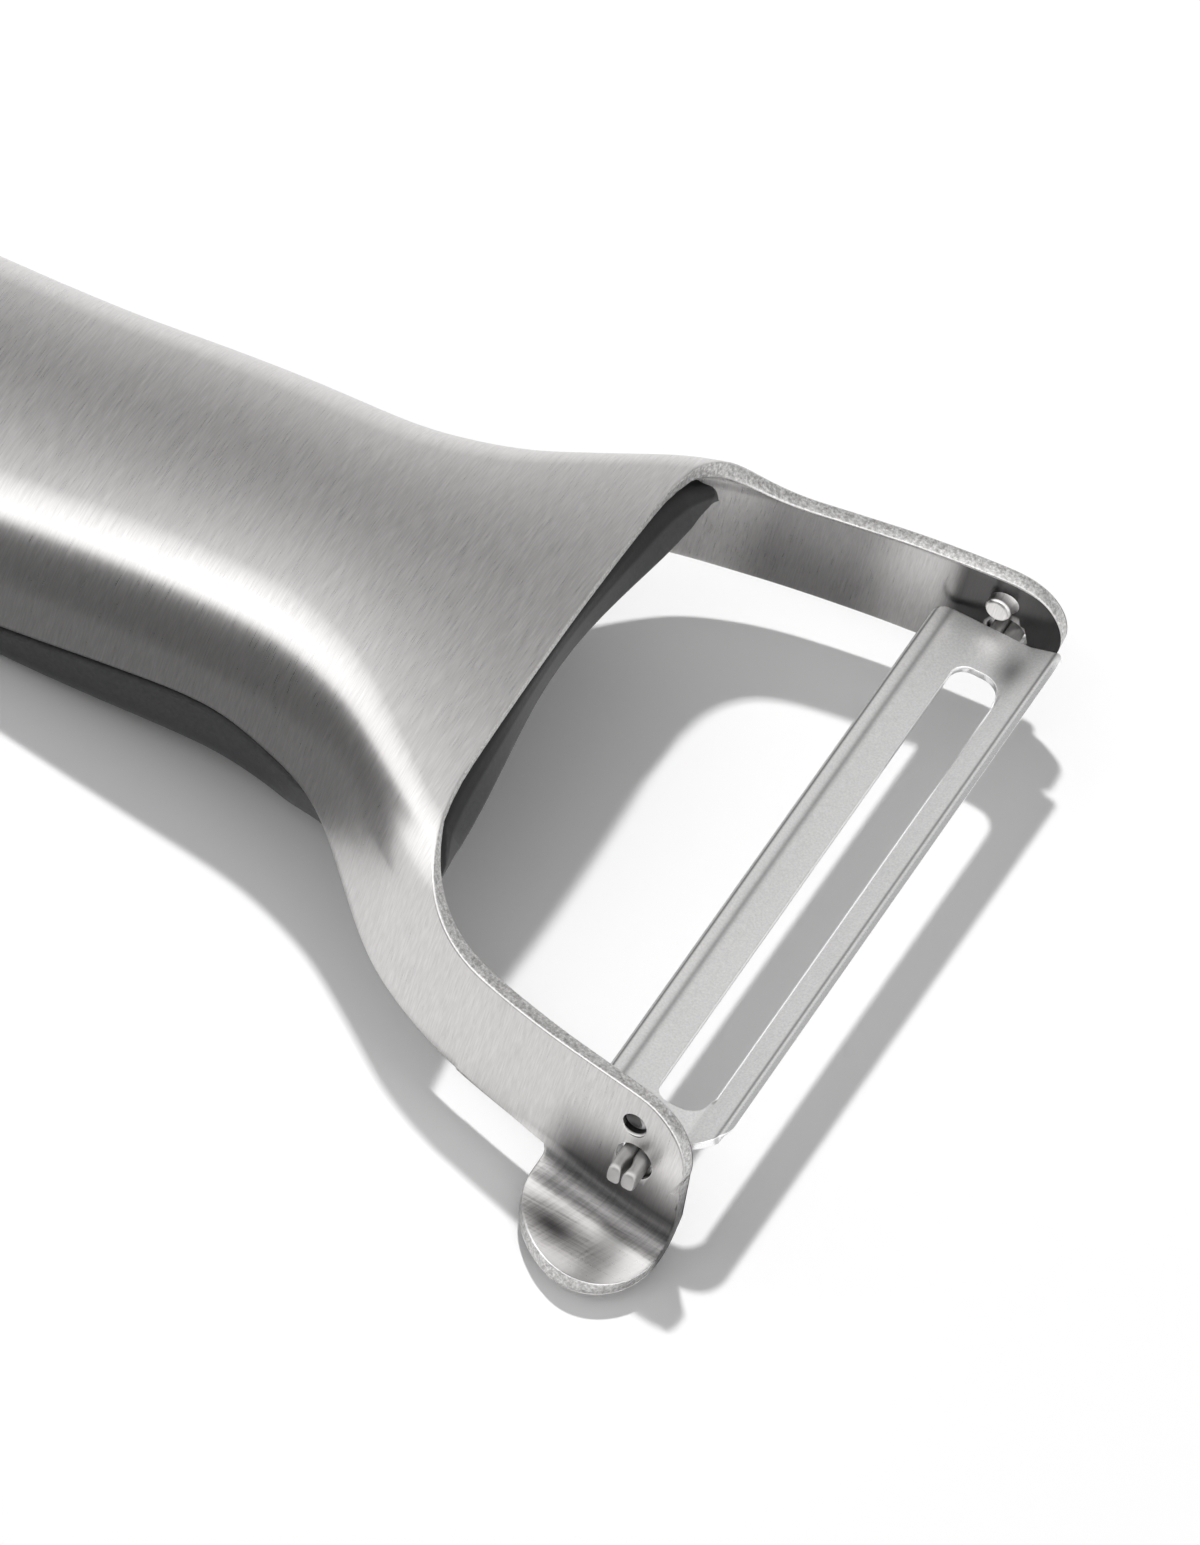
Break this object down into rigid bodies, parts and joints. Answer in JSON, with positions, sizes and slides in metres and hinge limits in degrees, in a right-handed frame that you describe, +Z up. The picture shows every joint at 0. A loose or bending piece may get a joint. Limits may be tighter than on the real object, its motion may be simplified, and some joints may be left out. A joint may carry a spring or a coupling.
{
  "type": "vegetable peeler",
  "caption": "Y-shaped vegetable peeler: pressed steel handle shell with two arms, a soft black grip under it, an eyer tab and a swivelling slotted blade between the arms.",
  "frame": {"origin": "middle of the flat strip under the grip, on the surface that the peeler lies on", "axes": "+X from the handle to the blade, +Y to the arm without the eyer tab, +Z up, out of the top of the handle"},
  "size_m": [0.1558, 0.0779, 0.0234],
  "materials": {
    "body_steel": "fine brushed",
    "grip_rubber": "matte",
    "core_plastic": "matte",
    "blade_steel": "satin blasted"
  },
  "bodies": {
    "frame": {"body": "body_steel", "grip": "grip_rubber", "grip_core": "core_plastic"},
    "swivel": {"blade": "blade_steel"}
  },
  "joints": [
    {"name": "blade_swivel", "type": "hinge", "parent": "frame", "child": "swivel", "pos_m": [0.102, 0, 0.0093], "axis": [0, -1, 0], "range_deg": [-38, 59]}
  ]
}
